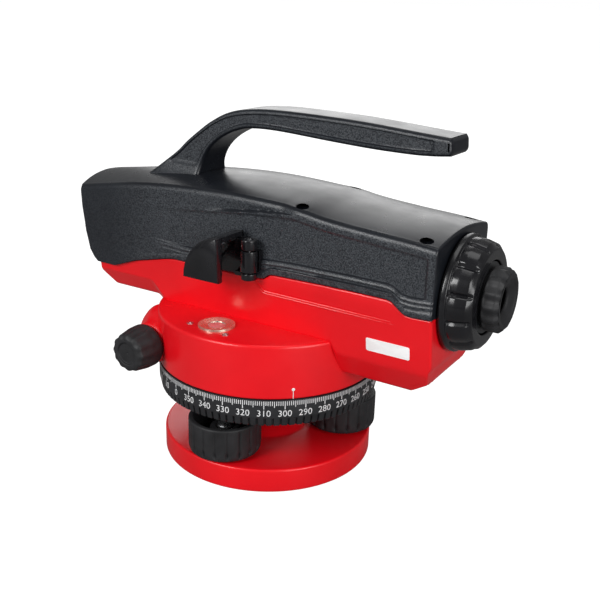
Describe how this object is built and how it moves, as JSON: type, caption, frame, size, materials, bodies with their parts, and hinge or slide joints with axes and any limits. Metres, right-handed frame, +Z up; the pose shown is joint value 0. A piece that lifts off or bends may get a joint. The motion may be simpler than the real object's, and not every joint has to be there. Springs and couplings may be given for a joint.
{
  "type": "automatic level",
  "caption": "Automatic surveying level: telescope with compensator and mirror-read bubble on a turret that turns over a graduated circle, on a three-screw levelling base with a carrying handle.",
  "frame": {"origin": "centre of the bounding box at the underside of the base plate", "axes": "+X along the line of sight towards the eyepiece, +Z up along the vertical axis, +Y towards the focus knob"},
  "size_m": [0.225, 0.1232, 0.1716],
  "materials": {
    "red_paint": "satin enamel",
    "black_paint": "textured enamel",
    "rubber": "matte",
    "black_plastic": "gloss",
    "black_metal": "black anodised",
    "steel": "satin",
    "brass": "satin",
    "aluminium": "satin",
    "glass": "polished",
    "mirror": "polished",
    "label": "matte",
    "nylon": "matte"
  },
  "bodies": {
    "base": {"base_plate": "red_paint", "foot_seat_1": "nylon", "foot_seat_2": "nylon", "foot_seat_3": "nylon", "foot_cap_1": "nylon", "foot_cap_2": "nylon", "foot_cap_3": "nylon", "levelling_head": "black_metal", "foot_bush_1": "brass", "foot_bush_2": "brass", "foot_bush_3": "brass", "clutch_spring": "steel", "clutch_nut": "black_metal"},
    "foot_screw_1": {"foot_screw_1": "steel", "foot_knob_1": "rubber"},
    "foot_screw_2": {"foot_screw_2": "steel", "foot_knob_2": "rubber"},
    "foot_screw_3": {"foot_screw_3": "steel", "foot_knob_3": "rubber"},
    "circle": {"graduated_circle": "black_metal"},
    "wheel": {"worm_wheel": "brass"},
    "tangent": {"tangent_screw": "steel", "fine_knob_left": "rubber", "fine_knob_right": "rubber"},
    "hood": {"mirror_hood": "black_plastic", "bubble_mirror": "mirror", "hinge_pin": "steel"},
    "focus_drive": {"focus_shaft": "steel", "focus_knob": "rubber"},
    "focus_carriage": {"focus_carriage": "black_metal", "focus_lens": "glass"},
    "dioptre": {"dioptre_ring": "black_plastic"},
    "ocular": {"eyepiece_cell": "black_metal", "eyepiece_lens": "glass"},
    "eyepiece_cover": {"eyepiece_cover": "black_plastic"},
    "pendulum": {"pendulum": "aluminium", "pendulum_prism": "glass"},
    "alidade": {"lower_housing": "red_paint", "top_cover": "black_paint", "cover_screw_1": "black_metal", "cover_screw_2": "black_metal", "cover_screw_3": "black_metal", "cover_screw_4": "black_metal", "objective_cell": "black_metal", "damper_magnet": "black_metal", "eyepiece_tube": "black_metal", "spindle": "steel", "spindle_retainer": "steel", "bubble_screw_1": "steel", "bubble_screw_2": "steel", "focus_rail_left": "steel", "focus_rail_right": "steel", "bubble_cell": "aluminium", "compensator_frame": "aluminium", "bubble_vial": "glass", "objective_lens": "glass", "front_prism": "glass", "rear_prism": "glass", "reticle_glass": "glass", "label_plate": "label"}
  },
  "joints": [
    {"name": "foot_screw_1_turn", "type": "hinge", "parent": "base", "child": "foot_screw_1", "pos_m": [-0.0068, -0.0375, 0.009], "axis": [0, 0, 1], "range_deg": [-900, 900]},
    {"name": "foot_screw_2_turn", "type": "hinge", "parent": "base", "child": "foot_screw_2", "pos_m": [0.02568, 0.01875, 0.009], "axis": [0, 0, 1], "range_deg": [-900, 900]},
    {"name": "foot_screw_3_turn", "type": "hinge", "parent": "base", "child": "foot_screw_3", "pos_m": [-0.03928, 0.01875, 0.009], "axis": [0, 0, 1], "range_deg": [-900, 900]},
    {"name": "circle_turn", "type": "hinge", "parent": "base", "child": "circle", "pos_m": [-0.0068, 0, 0.042], "axis": [0, 0, 1], "continuous": true},
    {"name": "coarse_turn", "type": "hinge", "parent": "base", "child": "wheel", "pos_m": [-0.0068, 0, 0.0595], "axis": [0, 0, 1], "continuous": true},
    {"name": "fine_turn", "type": "hinge", "parent": "wheel", "child": "alidade", "pos_m": [-0.0068, 0, 0.0595], "axis": [0, 0, 1], "continuous": true},
    {"name": "tangent_screw_turn", "type": "hinge", "parent": "alidade", "child": "tangent", "pos_m": [-0.0463, 0, 0.0595], "axis": [0, 1, 0], "continuous": true},
    {"name": "hood_swing", "type": "hinge", "parent": "alidade", "child": "hood", "pos_m": [0.0035, -0.0332, 0.108], "axis": [0, 0, 1], "range_deg": [0, 90]},
    {"name": "focus_turn", "type": "hinge", "parent": "alidade", "child": "focus_drive", "pos_m": [0.0132, 0.03, 0.09], "axis": [0, 1, 0], "range_deg": [-143, 143]},
    {"name": "focus_travel", "type": "slide", "parent": "alidade", "child": "focus_carriage", "axis": [1, 0, 0], "range_m": [-0.0121, 0.0121]},
    {"name": "dioptre_turn", "type": "hinge", "parent": "alidade", "child": "dioptre", "pos_m": [0.1032, 0, 0.1014], "axis": [1, 0, 0], "range_deg": [-120, 120]},
    {"name": "ocular_travel", "type": "slide", "parent": "alidade", "child": "ocular", "axis": [1, 0, 0], "range_m": [-0.0015, 0.0015]},
    {"name": "eyepiece_cover_turn", "type": "hinge", "parent": "alidade", "child": "eyepiece_cover", "pos_m": [0.0962, 0, 0.1014], "axis": [1, 0, 0], "range_deg": [0, 360]},
    {"name": "pendulum_swing", "type": "hinge", "parent": "alidade", "child": "pendulum", "pos_m": [0.0382, 0, 0.1167], "axis": [0, 1, 0], "range_deg": [-0.5, 0.5]}
  ],
  "couplings": [
    {"joint": "tangent_screw_turn", "follows": "fine_turn", "ratio": -60},
    {"joint": "focus_travel", "follows": "focus_turn", "m_per_rad": 0.0048},
    {"joint": "ocular_travel", "follows": "dioptre_turn", "m_per_rad": 0.00069232}
  ]
}
